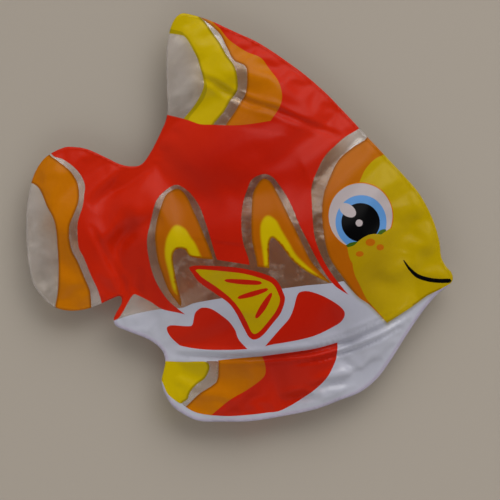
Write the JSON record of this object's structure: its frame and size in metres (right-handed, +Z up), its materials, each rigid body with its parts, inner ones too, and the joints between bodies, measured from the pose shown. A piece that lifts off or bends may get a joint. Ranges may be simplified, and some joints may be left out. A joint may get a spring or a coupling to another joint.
{
  "type": "inflatable swimming float",
  "caption": "Fish-shaped inflatable swimming float of welded PVC film, printed in red, orange, yellow and white, with a push-in valve and tethered plug in its back.",
  "frame": {"origin": "on the floor under the middle of the float's outline, which is the bottom centre of its box", "axes": "+X along the fish towards its nose, +Y across it towards the tip of the dorsal fin, +Z up out of the printed front film"},
  "size_m": [0.54, 0.503, 0.0765],
  "materials": {
    "printed_film": "soft clear PVC film printed in satin red, orange, yellow and white inks",
    "clear_film": "glossy clear PVC film",
    "valve_vinyl": "soft moulded PVC, milky white"
  },
  "bodies": {
    "float": {"front_panel": "printed_film", "back_panel": "clear_film", "valve_flange": "valve_vinyl", "valve_skirt": "valve_vinyl"},
    "stem": {"valve_stem": "valve_vinyl", "plug_strap": "valve_vinyl"},
    "flap": {"valve_flap": "valve_vinyl"},
    "plug": {"valve_plug": "valve_vinyl"}
  },
  "joints": [
    {"name": "stem_pop", "type": "slide", "parent": "float", "child": "stem", "axis": [0, 0, -1], "range_m": [0, 0.012], "deforming": ["valve_skirt"]},
    {"name": "plug_pull", "type": "slide", "parent": "stem", "child": "plug", "axis": [0, 0, -1], "range_m": [0, 0.009], "deforming": ["plug_strap"]},
    {"name": "flap_open", "type": "hinge", "parent": "stem", "child": "flap", "pos_m": [-0.0279, -0.006, 0.02305], "axis": [0, -1, 0], "range_deg": [0, 65]}
  ]
}
